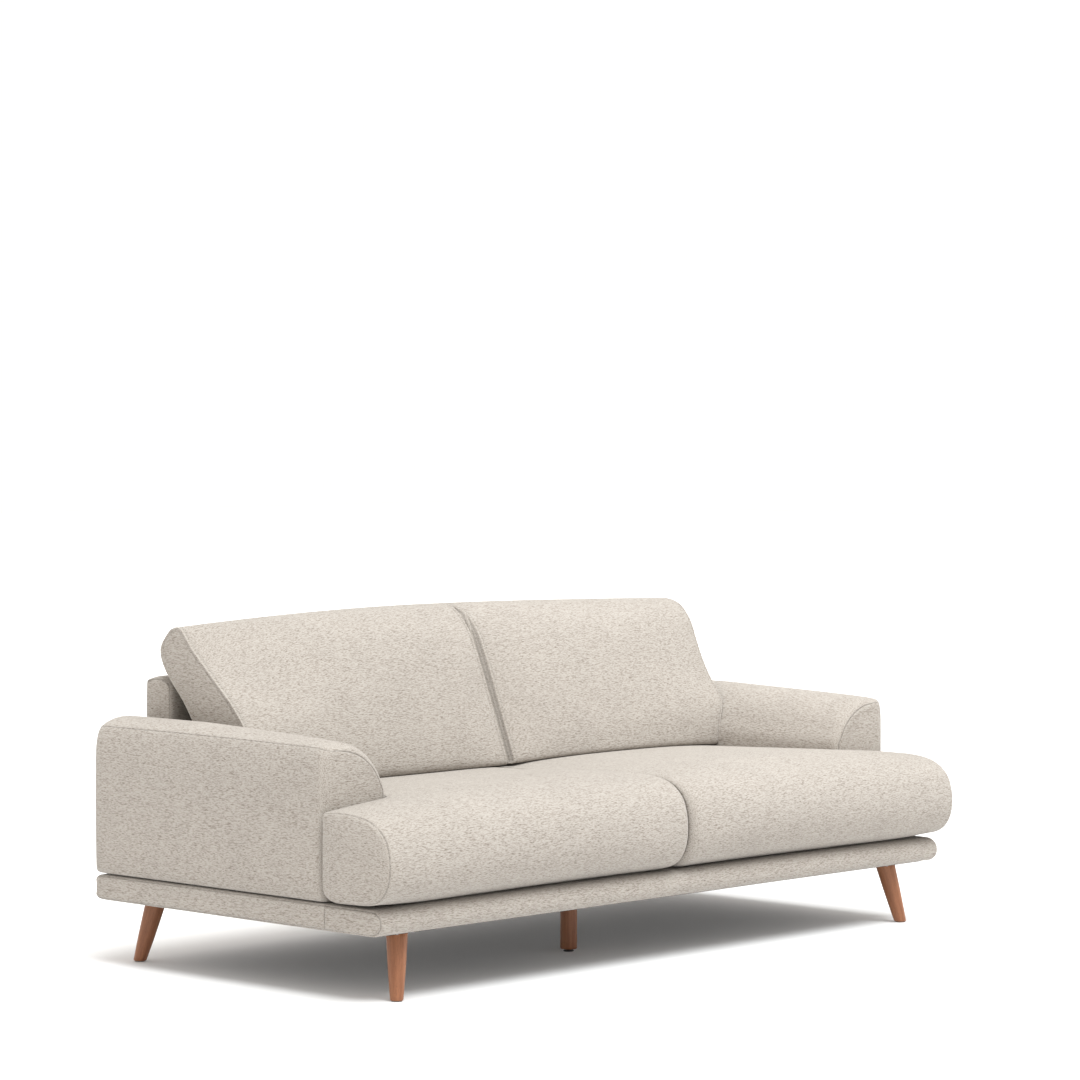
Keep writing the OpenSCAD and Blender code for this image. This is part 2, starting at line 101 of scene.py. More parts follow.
def spline(points, count):
    """A smooth line through points, as count + 1 evenly spaced points."""
    p = np.array(points, float)
    p = np.vstack([2 * p[0] - p[1], p, 2 * p[-1] - p[-2]])
    steps = np.linspace(0, 1, 24, endpoint=False)[:, None]
    fine = [
        0.5 * (2 * b + (c - a) * steps + (2 * a - 5 * b + 4 * c - d) * steps**2
               + (3 * b - a - 3 * c + d) * steps**3)
        for a, b, c, d in zip(p, p[1:], p[2:], p[3:])
    ]
    fine = np.vstack(fine + [p[-2:-1]])
    walked = np.concatenate([[0], np.cumsum(np.linalg.norm(np.diff(fine, axis=0), axis=1))])
    wanted = np.linspace(0, walked[-1], count + 1)
    return np.stack([np.interp(wanted, walked, fine[:, axis]) for axis in range(p.shape[1])], axis=1)


def coons(front, rear, bottom, top):
    """Fills a patch from its four edges. front and rear run upwards, bottom and top run rearwards."""
    nj, nk = len(bottom) - 1, len(front) - 1
    v = np.linspace(0, 1, nj + 1)[:, None, None]
    w = np.linspace(0, 1, nk + 1)[None, :, None]
    front, rear = np.array(front)[None, :, :], np.array(rear)[None, :, :]
    bottom, top = np.array(bottom)[:, None, :], np.array(top)[:, None, :]
    ruled = (1 - v) * front + v * rear + (1 - w) * bottom + w * top
    corners = (1 - v) * ((1 - w) * bottom[:1] + w * top[:1]) + v * ((1 - w) * bottom[-1:] + w * top[-1:])
    return ruled - corners


def outward(patch):
    """Directions out of a filled patch along its outline, and none inside it."""
    nj, nk = patch.shape[0] - 1, patch.shape[1] - 1
    loop = [(0, k) for k in range(nk + 1)] + [(j, nk) for j in range(1, nj + 1)]
    loop += [(nj, k) for k in range(nk - 1, -1, -1)] + [(j, 0) for j in range(nj - 1, 0, -1)]
    directions = np.zeros_like(patch)
    for n, here in enumerate(loop):
        along = patch[loop[(n + 1) % len(loop)]] - patch[loop[n - 1]]
        directions[here] = np.array((-along[1], along[0])) / max(np.hypot(*along), 1e-6)
    return directions


NEAR_REACH, FAR_REACH = 22, 260


def puff(distance, near, far):
    """How much a filled panel stands out at this distance from its seam: near beside it, far in all."""
    close = near * (1 - math.exp(-distance / NEAR_REACH))
    return close + (far - near) * smooth(distance / FAR_REACH)


def grid(start, stop, first=(12.0, 26.0, 44.0), last=(12.0, 26.0, 44.0)):
    """Places from start to stop, a cell apart, with the given closer steps at either end."""
    head = [start + d for d in first]
    tail = [stop - d for d in reversed(last)]
    a = head[-1] if head else start
    b = tail[0] if tail else stop
    count = max(1, round((b - a) / CELL))
    middle = [lerp(a, b, n / count) for n in range(1, count)]
    return [start] + head + middle + tail + [stop]


# ---- skins of blocks of cells ----

# Which way each facing looks, and its four corners as seen from outside
FACINGS = {
    "+i": ((1, 0, 0), "100 110 111 101"),
    "-i": ((-1, 0, 0), "000 001 011 010"),
    "+j": ((0, 1, 0), "010 011 111 110"),
    "-j": ((0, -1, 0), "000 100 101 001"),
    "+k": ((0, 0, 1), "001 101 111 011"),
    "-k": ((0, 0, -1), "000 010 110 100"),
}


def new_object(name, verts, faces):
    mesh = bpy.data.meshes.new(name)
    mesh.from_pydata([tuple(v) for v in verts], [], faces)
    mesh.update()
    obj = bpy.data.objects.new(name, mesh)
    scene.collection.objects.link(obj)
    return obj


def block_skin(name, shape, place, sewn, keep=None, extra_seam=None, no_seam=None, mirrored=False):
    """The closed skin of a block of cells, i across, j rearwards and k upwards.

    place(i, j, k) gives a corner in millimetres. sewn holds the pairs of facings that meet in a seam.
    keep says which cells belong, extra_seam which further edges are sewn, and no_seam which are not.
    mirrored flips the skin to the other side.
    """
    def inside(cell):
        return all(0 <= c < n for c, n in zip(cell, shape)) and (keep is None or keep(*cell))

    index, corners, faces, facings = {}, [], [], []
    for cell in np.ndindex(*shape):
        if not inside(cell):
            continue
        for facing, (step, quad) in FACINGS.items():
            if inside(tuple(c + s for c, s in zip(cell, step))):
                continue
            ids = []
            for q in quad.split():
                corner = tuple(c + int(s) for c, s in zip(cell, q))
                if corner not in index:
                    index[corner] = len(corners)
                    corners.append(corner)
                ids.append(index[corner])
            faces.append(ids[::-1] if mirrored else ids)
            facings.append(facing)
    sign = np.array([-1.0 if mirrored else 1.0, 1.0, 1.0])
    obj = new_object(name, [np.array(place(*c)) * sign * MM for c in corners], faces)

    met = {}
    for face, facing in zip(faces, facings):
        for a, b in zip(face, face[1:] + face[:1]):
            met.setdefault(frozenset((a, b)), set()).add(facing)
    for edge in obj.data.edges:
        a, b = edge.vertices
        pair = frozenset(met[frozenset((a, b))])
        ends = corners[a], corners[b]
        joined = extra_seam is not None and extra_seam(*ends)
        plain = no_seam is not None and no_seam(*ends)
        edge.use_seam = (pair in sewn or joined) and not plain
    return obj


def pairs(text):
    """Facing pairs from words such as '+i+k -j+k'."""
    return {frozenset((word[:2], word[2:])) for word in text.split()}


# ---- seat cushions ----

# UP, DEEP and ACROSS after a piece's name are its numbers of cells
END_SEAMS = "+i+k +i-k +i-j +i+j -i+k -i-k -i-j -i+j"

# The section of the seat's front, from the ear's rear edge at the bottom, round the nose, to the one at the
# top. Each point is a share of the depth from the nose to the ear's rear, and a share of the height.
NOSE = [
    (1.0, 0.0), (0.85, 0.0), (0.59, 0.005), (0.29, 0.022), (0.12, 0.10), (0.024, 0.26), (0.0, 0.43),
    (0.016, 0.615), (0.09, 0.80), (0.29, 0.945), (0.60, 1.0), (1.0, 1.0),
]
NOSE_CELLS, SEAT_UP = 9, 10
NOSE_INNER, NOSE_OUTER = SEAT_LOW[1] + 18, SEAT_LOW[1] + 11
SEAT_MIDDLE = SEAT_SIDE / 2

# Heights of the top along the seat's sides: in front, at the rear, and the slope between
SEAT_TOP_FRONT, SEAT_TOP_REAR = 461.0, 444.5
SLOPE_START, SLOPE_RUN = -301.0, 413.0
CONTACT_Z = 445.0  # where the back cushions stand, at the seats' sides
# The crown's heights. The left seat is pressed flat under its back cushion.
FRONT_CROWN, REAR_CROWN = 9.0, {"left": -2.0, "right": 8.5}
CROWN_START, CROWN_RUN = -160.0, 280.0
SEAT_SWELL = 2.0  # left for the simulation to fill
BOTTOM_GAP = 1.5
EAR_FALL, EAR_RISE = 21.0, 4.0
EAR_REAR_FALL, REAR_FALL_REACH, EAR_STEP_REACH = 3.0, 60, 30

SEAT_PUFF = 9.0
INNER_INSET, INNER_REACH = 17.0, 27.0
CALM_START, CALM_RUN, CALM_SHARE = -100.0, 250.0, 0.3
BEHIND_REACH = 90
EAR_BULGE = 15.0
EAR_CORNER, EAR_CORNER_INSET, EAR_CORNER_LIFT = 34.0, 24.0, 9.0


def crowned(x):
    """Share of the crown across a seat, from 0 at its sides to 1 in the middle."""
    return 1 - abs((min(x, SEAT_SIDE) - SEAT_MIDDLE) / SEAT_MIDDLE) ** 2.4


def along_ear(x):
    """Share of the way along the ear, from 0 at the seat's side to 1 at the ear's end."""
    return max(0.0, x - SEAT_SIDE) / (SEAT_HIGH[0] - SEAT_SIDE)


def seat_top(side, x, y):
    """Height of the seat's top. It rises to the front, crowns in the middle and falls along the ear."""
    at_side = lerp(SEAT_TOP_FRONT, SEAT_TOP_REAR, clamp((y - SLOPE_START) / SLOPE_RUN))
    change = smooth((y - CROWN_START) / CROWN_RUN)
    crown = lerp(FRONT_CROWN, REAR_CROWN[side], change) * crowned(x)
    return at_side + crown - EAR_FALL * along_ear(x) ** 1.4 - SEAT_SWELL


def seat_bottom(x):
    return SEAT_LOW[2] + BOTTOM_GAP + EAR_RISE * along_ear(x) ** 2


def seat_patch():
    """The section's nose as an array of corners, j from the nose rearwards and k upwards."""
    reach = np.array([EAR_REAR - SEAT_LOW[1], SEAT_HIGH[2] - SEAT_LOW[2]])
    line = spline(np.array(NOSE) * reach, 2 * NOSE_CELLS + SEAT_UP) / reach
    bottom = line[: NOSE_CELLS + 1][::-1]
    front = line[NOSE_CELLS : NOSE_CELLS + SEAT_UP + 1]
    top = line[NOSE_CELLS + SEAT_UP :]
    rear = np.stack([np.ones(SEAT_UP + 1), np.linspace(0, 1, SEAT_UP + 1)], axis=1)
    return coons(front, rear, bottom, top)


def seat_cushion(side):
    outer = SEAT_HIGH[0] - 1
    xs = grid(SEAT_LOW[0] + 0.5, SEAT_SIDE - 1, first=(8.0, 17.0, 29.0, 45.0))
    step = len(xs) - 1
    xs = xs + grid(SEAT_SIDE - 1, outer, first=(), last=(12.0, 26.0))[1:]
    ys = grid(EAR_REAR, SEAT_HIGH[1] - 1, first=(12.0, 26.0))
    patch = seat_patch()
    normals = outward(patch * np.array([EAR_REAR - NOSE_OUTER, SEAT_HIGH[2] - SEAT_LOW[2]]))
    shape = (len(xs) - 1, NOSE_CELLS + len(ys) - 1, SEAT_UP)

    def place(i, j, k):
        x = xs[i]
        behind = j > NOSE_CELLS
        depth, height = patch[min(j, NOSE_CELLS), k]
        nose = lerp(NOSE_INNER, NOSE_OUTER, smooth((x - xs[0]) / (outer - xs[0])))
        y = ys[j - NOSE_CELLS] if behind else lerp(nose, EAR_REAR, depth)
        from_end = min(x - xs[0], outer - x)
        if behind:
            beside_arm = min(abs(SEAT_SIDE - 1 - x), x - xs[0], ys[-1] - y)
            from_end = lerp(from_end, beside_arm, smooth((y - EAR_REAR) / BEHIND_REACH))
        stand = puff(from_end, SEAT_PUFF * 0.75, SEAT_PUFF)
        low, high = seat_bottom(x) + stand, seat_top(side, x, y) - stand
        inset = rounding(x - xs[0], INNER_REACH, INNER_INSET)
        inset *= lerp(1.0, CALM_SHARE, smooth((y - CALM_START) / CALM_RUN))
        if x > SEAT_SIDE:
            rearwards = smooth((y - EAR_REAR + REAR_FALL_REACH) / REAR_FALL_REACH)
            high -= EAR_REAR_FALL * rearwards * smooth((x - SEAT_SIDE) / EAR_STEP_REACH)
        z = lerp(low + 0.7 * inset, high - 0.6 * inset, height)
        if not behind:
            out_y, out_z = normals[j, k]
            y += inset * (1 - depth) + out_y * stand * (1 - smooth(depth * 1.2))
            z += out_z * stand
        elif k in (0, SEAT_UP):
            z += stand if k else -stand
        if i > step and not behind:
            z += rounding(EAR_REAR - y, EAR_CORNER, EAR_CORNER_LIFT) * (1 - height)
            y -= rounding(z - low, EAR_CORNER, EAR_CORNER_INSET) * depth**6
        if i == step and j >= NOSE_CELLS:
            x += rounding(y - EAR_REAR, ARM_FRONT_REACH, ARM_SIDE_INSET - 2)
        if i == shape[0]:
            across = math.sin(math.pi * k / SEAT_UP) * math.sin(math.pi * min(1.0, j / NOSE_CELLS))
            x += EAR_BULGE * max(across, 0.0) ** 0.6
        return x, y, z

    def under_ear(a, b):
        """The bottom rear edge of the ear, which is folded and not sewn."""
        return a[2] == b[2] == 0 and a[1] == b[1] == NOSE_CELLS and max(a[0], b[0]) > step

    return block_skin(
        f"seat_cushion_{side}_skin", shape, place,
        pairs(END_SEAMS + " +j+k +j-k"),
        keep=lambda i, j, k: i < step or j < NOSE_CELLS,
        no_seam=under_ear,
        mirrored=side == "left",
    )


# ---- back cushions ----

# Sections of a back cushion, in Y and Z: up the front, over the top, and up the rear. Both cushions share
# the one at their inner ends, and have settled a little differently at their outer ends.
INNER_FRONT = [
    (116, 447), (124, 471), (149, 534), (174, 598), (199, 662), (225, 725), (254, 785), (287, 826),
]
INNER_TOP = [(287, 826), (326, 852), (368, 857), (406, 845)]
INNER_REAR = [
    (294, 452), (316, 512), (346, 578), (380, 640), (414, 702), (444, 762), (444, 811), (406, 845),
]
OUTER_FRONT = {
    "left": [(121, 447), (126, 512), (138, 560), (157, 595), (200, 645), (250, 690), (301, 735),
             (343, 772), (371, 804)],
    "right": [(118, 447), (121, 505), (134, 553), (160, 592), (187, 630), (212, 673), (236, 727),
              (259, 783), (292, 823)],
}
OUTER_TOP = {
    "left": [(371, 804), (385, 820), (402, 828), (428, 820)],
    "right": [(292, 823), (328, 837), (372, 839), (414, 824)],
}
OUTER_REAR = {
    "left": [(294, 452), (308, 520), (340, 592), (378, 646), (414, 684), (441, 715), (460, 748),
             (463, 778), (428, 820)],
    "right": [(294, 452), (308, 520), (340, 592), (378, 646), (412, 684), (438, 720), (456, 760),
              (450, 796), (414, 824)],
}
CUSHION_DEEP, CUSHION_UP = 9, 21
CUSHION_START = 3.0
CUSHION_END = {"left": CUSHION_HIGH[0] + 11, "right": CUSHION_HIGH[0] - 2}
ARM_ROOM, SEAT_ROOM = 3, 2  # left for the simulation to fill
FRONT_PUFF, REAR_PUFF, TOP_PUFF = 12.0, 6.0, 1.0
FRONT_NEAR, REAR_NEAR = 6.0, 4.0
END_BULGE, INNER_SHARE = 3.0, 0.8
# How far the front edge stands back from the other cushion
FRONT_RECESS, RECESS_REACH = {"left": 3.0, "right": 20.0}, 38.0
# Powers: how late, along the cushion, its section and its top change to the outer end's
SECTION_CHANGE, TOP_FALL = 3.5, {"left": 2.3, "right": 1.15}


def cushion_section(front, top, rear):
    """A filled section, j from the front rearwards and k upwards."""
    front, rear = spline(front, CUSHION_UP), spline(rear, CUSHION_UP)
    top = spline(top, CUSHION_DEEP)
    bottom = spline([front[0], rear[0]], CUSHION_DEEP)
    return coons(front, rear, bottom, top)


def arm_inner_face(z):
    """X of the arm's inner face, and of its rounded shoulder, at this height."""
    up = clamp((z - SHOULDER_Z) / SHOULDER_R)
    return SHOULDER_X - SHOULDER_R * math.sqrt(1 - up * up)


def contact_height(side, x):
    """Height at which a back cushion stands on its seat cushion."""
    return CONTACT_Z + REAR_CROWN[side] * crowned(x)


def back_cushion(side):
    inner, outer = CUSHION_START, CUSHION_END[side]
    shares = [(x - inner) / (outer - inner) for x in grid(inner, outer, (12, 27, 46), (12, 27, 46))]
    inner_end = cushion_section(INNER_FRONT, INNER_TOP, INNER_REAR)
    outer_end = cushion_section(OUTER_FRONT[side], OUTER_TOP[side], OUTER_REAR[side])
    section_out = outward(lerp(inner_end, outer_end, 0.3))
    shape = (len(shares) - 1, CUSHION_DEEP, CUSHION_UP)

    def place(i, j, k):
        share = shares[i]
        up = k / CUSHION_UP
        section = lerp(inner_end, outer_end, share**SECTION_CHANGE)
        y, z = section[j, k]
        fallen = lerp(inner_end[j, k][1], outer_end[j, k][1], share ** TOP_FALL[side])
        z = lerp(z, fallen, up**2)
        end = min(outer, arm_inner_face(z + 4) - ARM_ROOM)
        start = inner + FRONT_RECESS[side] * (1 - smooth((y - section[0, k][0]) / RECESS_REACH))
        x = lerp(start, end, share)
        from_end = min(x - start, end - x)
        out_y, out_z = section_out[j, k]
        fullness = math.sin(math.pi * clamp(0.12 + 0.88 * up)) ** 0.6
        if j == 0:
            stand = puff(from_end, FRONT_NEAR, FRONT_PUFF) * fullness
        elif j == CUSHION_DEEP:
            stand = puff(from_end, REAR_NEAR, REAR_PUFF) * fullness
        else:
            stand = puff(from_end, TOP_PUFF / 2, TOP_PUFF)
        if k > 0:
            y += out_y * stand
            z += out_z * stand
        else:
            z = contact_height(side, x) + SEAT_ROOM
        if i in (0, shape[0]) and 0 < j < CUSHION_DEEP:
            across = math.sin(math.pi * up) * math.sin(math.pi * j / CUSHION_DEEP)
            x += END_BULGE * across**0.5 * (1 if i else -INNER_SHARE)
        return x, y, z

    def gusset(a, b):
        """A second seam up the inner end panel, one cell behind its front."""
        return a[0] == b[0] == 0 and a[1] == b[1] == 1

    return block_skin(
        f"back_cushion_{side}_skin", shape, place,
        pairs(END_SEAMS + " +j-k"),
        extra_seam=gusset,
        mirrored=side == "left",
    )


# ---- arms ----

ARM_ACROSS, ARM_UP = 9, 17
ARM_CROWN_FRONT, ARM_CROWN_REAR, ARM_CROWN_RUN = -11.0, 13.0, 500.0
ARM_PROUD = 6.0
ARM_FRONT_DROP, ARM_SIDE_INSET, ARM_FRONT_REACH = 19.0, 14.0, 24.0
ARM_REAR_DROP, ARM_REAR_REACH = 12.0, 26
ARM_FRONT_R, ARM_REAR_R = 17.0, 5.0
ARM_PUFF, ARM_PUFF_REACH = 3.0, 20
ARM_FACE_BULGE = 4.0
SHOULDER_CUT = 5.5  # how much flatter the shoulder is than a quarter circle
REBATE_CELLS, REBATE_STEP = 2, 12.0


def arm_patch():
    """The arm's section, i from the inner face outwards and k upwards."""
    x0, x1, z0, z1 = ARM_LOW[0], ARM_HIGH[0] + ARM_PROUD, ARM_LOW[2] + 1, ARM_HIGH[2]
    half = math.radians(45)
    shoulder = [
        (SHOULDER_X - SHOULDER_R * math.cos(a) + SHOULDER_CUT * math.sin(2 * a),
         SHOULDER_Z + SHOULDER_R * math.sin(a) - SHOULDER_CUT * math.sin(2 * a))
        for a in (0, half / 3, 2 * half / 3, half, 4 * half / 3, 5 * half / 3, 2 * half)
    ]
    edge = (x1 - 13, z1 - 13)
    inner_foot, outer_foot = (x0 + 2, z0), (x1 - 2, z0)
    inner = [inner_foot, (x0, z0 + 90), (x0, z0 + 195), (x0 - 4, z0 + 255)] + shoulder[1:4]
    outer = [outer_foot, (x1, z0 + 90), (x1, z1 - 105), (x1 - 3, z1 - 40), edge]
    top = shoulder[3:] + [(x1 - 58, z1 - 1), (x1 - 33, z1 - 5), edge]
    inner, outer = spline(inner, ARM_UP), spline(outer, ARM_UP)
    top = spline(top, ARM_ACROSS)
    bottom = spline([inner_foot, outer_foot], ARM_ACROSS)
    return coons(inner, outer, bottom, top)


def arm(side):
    y0, y1 = ARM_LOW[1] - 1, ARM_HIGH[1] + 3
    x0, x1 = ARM_LOW[0], ARM_HIGH[0] + ARM_PROUD
    # The back frame's end stands in a rebate at the rear of the arm's inner side
    rebate_y, rebate_x = BACK_LOW[1] - 2, BACK_HIGH[0] + 2
    ys = grid(y0, rebate_y, first=(10, 20, 34), last=())
    ys += grid(rebate_y, y1, first=(), last=(12, 26))[1:]
    rebate_j = ys.index(rebate_y)
    patch = arm_patch()
    normals = outward(patch)

    def place(i, j, k):
        x, z = patch[i, k]
        y = ys[j]
        ahead, astern = y - y0, y1 - y
        stand = ARM_PUFF * (1 - math.exp(-min(ahead, astern) / ARM_PUFF_REACH))
        x, z = (x, z) + normals[i, k] * (stand if k else 0.0)
        across = clamp((x - x0) / (x1 - x0))
        up = clamp((z - ARM_LOW[2]) / (ARM_HIGH[2] - ARM_LOW[2]))
        crown = lerp(ARM_CROWN_FRONT, ARM_CROWN_REAR, clamp(ahead / ARM_CROWN_RUN) ** 0.7)
        z += crown * up**2 * (1 - across**5)
        z -= rounding(ahead, ARM_FRONT_REACH, ARM_FRONT_DROP) * up**3 * (1 - 0.9 * across**3)
        z -= rounding(astern, ARM_REAR_REACH, ARM_REAR_DROP) * up**3
        x += rounding(ahead, ARM_FRONT_REACH, ARM_SIDE_INSET) * (1 - across) ** 2
        front_corner = rounding(ahead, ARM_FRONT_R, ARM_FRONT_R)
        rear_corner = rounding(astern, ARM_REAR_R, ARM_REAR_R)
        x -= (front_corner + rear_corner) * across**2.5
        if j > rebate_j or (j == rebate_j and i >= REBATE_CELLS):
            beyond = i - REBATE_CELLS
            x = max(x, rebate_x + REBATE_STEP * beyond) if beyond else rebate_x
        if j == 0:
            face = math.sin(math.pi * across) * math.sin(math.pi * up)
            y -= ARM_FACE_BULGE * max(face, 0.0) ** 0.5
        return x, y, z

    shape = (ARM_ACROSS, len(ys) - 1, ARM_UP)
    return block_skin(
        f"arm_{side}_skin", shape, place,
        pairs("-j+k -j-i +i+k +j+k"),
        keep=lambda i, j, k: j < rebate_j or i >= REBATE_CELLS,
        mirrored=side == "left",
    )


# ---- back frame ----

BACK_DEEP, BACK_UP = 5, 22
BACK_FRONT_R, BACK_REAR_R = 34.0, 26.0
BACK_PROUD = 3.0
BACK_END_INSET, BACK_END_REACH = 6.0, 28


def back_frame():
    y0, y1, z0, z1 = BACK_LOW[1], BACK_HIGH[1] + BACK_PROUD, BACK_LOW[2], BACK_HIGH[2]
    cos45 = math.cos(math.radians(45))
    front_cut, rear_cut = BACK_FRONT_R * (1 - cos45), BACK_REAR_R * (1 - cos45)
    front_foot, front_corner = (y0 + 1, z0 + 1), (y0 + front_cut, z1 - front_cut)
    rear_foot, rear_corner = (y1 - 1, z0 + 1), (y1 - rear_cut, z1 - rear_cut)
    front = spline([front_foot, (y0, z0 + 120), (y0, z1 - BACK_FRONT_R), front_corner], BACK_UP)
    rear = spline([rear_foot, (y1, z0 + 120), (y1, z1 - BACK_REAR_R), rear_corner], BACK_UP)
    top = [front_corner, (y0 + BACK_FRONT_R, z1), (y1 - BACK_REAR_R, z1), rear_corner]
    top, bottom = spline(top, BACK_DEEP), spline([front_foot, rear_foot], BACK_DEEP)
    patch = coons(front, rear, bottom, top)
    xs = grid(BACK_LOW[0], BACK_HIGH[0], (12, 28), (12, 28))
    shape = (len(xs) - 1, BACK_DEEP, BACK_UP)

    def place(i, j, k):
        y, z = patch[j, k]
        inset = rounding(min(xs[i] - xs[0], xs[-1] - xs[i]), BACK_END_REACH, BACK_END_INSET)
        up = clamp((z - z0) / (z1 - z0))
        y += inset * (1 - 2 * j / BACK_DEEP)
        z -= inset * up**4
        return xs[i], y, z

    return block_skin("back_frame_skin", shape, place, pairs("+i+k +i-j +i+j -i+k -i-j -i+j"))


# ---- platform ----

BULL_R, BULL_REACH = (PLATFORM_HIGH[2] - PLATFORM_LOW[2]) / 2, 46.0
PROUD_SIDE, PROUD_REAR = 1.5, 2
SIDE_INSET, SIDE_REACH = 3.0, 30
REAR_INSET, REAR_REACH = 5.0, 24
DUST_LOW, DUST_HIGH = box_mm("dust_cover")
DUST_HEM, DUST_GAP = 9.0, 1.5


def platform():
    y0, y1 = PLATFORM_LOW[1], PLATFORM_HIGH[1] + PROUD_REAR
    z0, z1 = PLATFORM_LOW[2], PLATFORM_HIGH[2]
    behind_nose, arm_front = y0 + BULL_REACH, EAR_REAR + 2
    centre_z = (z0 + z1) / 2
    arc = [
        (y0 + BULL_R * (1 - math.sin(a)), centre_z - BULL_R * math.cos(a))
        for a in np.linspace(0, math.pi, 9)
    ]
    nose_cells, up = 2, 6
    line = spline([(behind_nose, z0)] + arc + [(behind_nose, z1)], 2 * nose_cells + up)
    bottom, top = line[: nose_cells + 1][::-1], line[nose_cells + up :]
    rear = np.stack([np.full(up + 1, behind_nose), np.linspace(z0, z1, up + 1)], axis=1)
    patch = coons(line[nose_cells : nose_cells + up + 1], rear, bottom, top)
    ys = grid(behind_nose, arm_front, first=(), last=())
    ys += grid(arm_front, y1 - 1, first=(), last=(10, 24))[1:]
    join_j = nose_cells + ys.index(arm_front)
    x0, x1 = PLATFORM_LOW[0] - PROUD_SIDE, PLATFORM_HIGH[0] + PROUD_SIDE
    xs = grid(x0, x1, (12, 30), (12, 30))
    shape = (len(xs) - 1, nose_cells + len(ys) - 1, up)

    def place(i, j, k):
        x = xs[i]
        y, z = patch[min(j, nose_cells), k]
        y = ys[j - nose_cells] if j > nose_cells else y
        from_side = min(x - xs[0], xs[-1] - x)
        inset = rounding(from_side, SIDE_REACH, SIDE_INSET)
        z += inset * (1 - 2 * k / up)
        if j < nose_cells or (j == nose_cells and k not in (0, up)):
            y += inset * (1 - min(j, nose_cells) / nose_cells)
        rear_inset = rounding(y1 - 1 - y, REAR_REACH, REAR_INSET)
        z += rear_inset * (1 - 2 * k / up)
        over_dust = all(
            low - DUST_HEM < c < high + DUST_HEM for c, low, high in zip((x, y), DUST_LOW, DUST_HIGH))
        if k == 0 and over_dust:
            z = DUST_HIGH[2] + DUST_GAP
        return x, y, z

    def join(a, b):
        """The upright seam on either side, just ahead of the arm's front face."""
        return a[0] == b[0] and a[0] in (0, shape[0]) and a[1] == b[1] == join_j

    return block_skin(
        "platform_skin", shape, place, pairs("+i+k +i-k +i-j -i+k -i-k -i-j"), extra_seam=join)


# ---- swelling by cloth simulation ----

FRAMES = 20
SEAM_HOLD, CLOTH_STIFFNESS = 0.9, 25.0
SEAT_AIR, CUSHION_AIR, ARM_AIR, FRAME_AIR = 0.22, 0.25, 0.10, 0.03
LOOSE_TRAVEL, FIXED_TRAVEL = 7.0, 3.0


def coordinates(mesh):
    flat = np.zeros(len(mesh.vertices) * 3)
    mesh.vertices.foreach_get("co", flat)
    return flat.reshape(-1, 3)


def set_coordinates(mesh, points):
    mesh.vertices.foreach_set("co", points.ravel())
    mesh.update()


def add_air(obj, pressure):
    """Gives a closed skin a cloth that air swells, with its seams held."""
    group = obj.vertex_groups.new(name="seams")
    held = sorted({v for e in obj.data.edges if e.use_seam for v in e.vertices})
    group.add(held, SEAM_HOLD, "REPLACE")
    cloth = obj.modifiers.new("cloth", "CLOTH")
    settings = cloth.settings
    settings.quality = 6
    settings.mass = 0.3
    settings.tension_stiffness = CLOTH_STIFFNESS
    settings.compression_stiffness = CLOTH_STIFFNESS
    settings.shear_stiffness = CLOTH_STIFFNESS / 3
    settings.bending_stiffness = 1.5
    settings.air_damping = 2.0
    settings.vertex_group_mass = group.name
    settings.pin_stiffness = 2.0
    settings.use_pressure = True
    settings.uniform_pressure_force = pressure
    settings.effector_weights.gravity = 0
    cloth.collision_settings.use_collision = False
    cloth.point_cache.frame_start = 1
    cloth.point_cache.frame_end = FRAMES


def simulate(pieces):
    """Steps all cloth at once, then keeps each skin's swelled shape, with its points' travel capped."""
    scene.frame_start, scene.frame_end = 1, FRAMES
    for number in range(1, FRAMES + 1):
        scene.frame_set(number)
    graph = bpy.context.evaluated_depsgraph_get()
    swelled = []
    for obj, cap in pieces:
        start = coordinates(obj.data)
        moved = coordinates(obj.evaluated_get(graph).data)
        travel = moved - start
        length = np.maximum(np.linalg.norm(travel, axis=1, keepdims=True), 1e-9)
        limit = cap * MM
        swelled.append(start + travel / length * limit * np.tanh(length / limit))
    scene.frame_set(1)
    for (obj, _), points in zip(pieces, swelled):
        obj.modifiers.remove(obj.modifiers["cloth"])
        obj.vertex_groups.clear()
        set_coordinates(obj.data, points)


# ---- keeping neighbours apart ----

def keep_clear(obj, side, rule):
    """Moves points in millimetres by rule(side, x, y, z), with x always positive."""
    points = coordinates(obj.data) / MM
    sign = -1.0 if side == "left" else 1.0
    points[:, 0] *= sign
    points = np.array([rule(side, *p) for p in points])
    points[:, 0] *= sign
    set_coordinates(obj.data, points * MM)


SEAT_ZIP = box_mm("seat_zip_right")
BACK_ZIP_LOW, BACK_ZIP_HIGH = box_mm("back_zip_right")
ZIP_MARGIN = 26.0
BACK_ZIP_INSET, BACK_ZIP_EDGE = 0.4, 0.6

# Each cushion's distance from its neighbours
SEAT_CENTRE_GAP, SEAT_ARM_GAP, SEAT_PLATFORM_GAP, SEAT_CUSHION_GAP = 1.4, 1.5, 1.0, 0.5
CUSHION_CENTRE_GAP, CUSHION_ARM_GAP, CUSHION_SEAT_GAP, CUSHION_FRAME_GAP = 0.6, 1.5, 0.7, 4.0
# Y behind which a point is at the seat's rear, under the back cushion, or at that cushion's rear
SEAT_REAR_Y, UNDER_Y, CUSHION_REAR_Y = 300, 100, 260
UNDER_ROOM, UNDER_REACH = 20, 30
EAR_ZONE, EAR_REAR_ROOM = 12, 2.4


def zip_pull(x, z, low, high):
    """How firmly the zip holds the cover to its plane here, from 0 to 1."""
    beside = max(low[0] - x, x - high[0], 0.0)
    above = max(low[2] - z, z - high[2], 0.0)
    return 1 - smooth(math.hypot(beside, above) / ZIP_MARGIN)


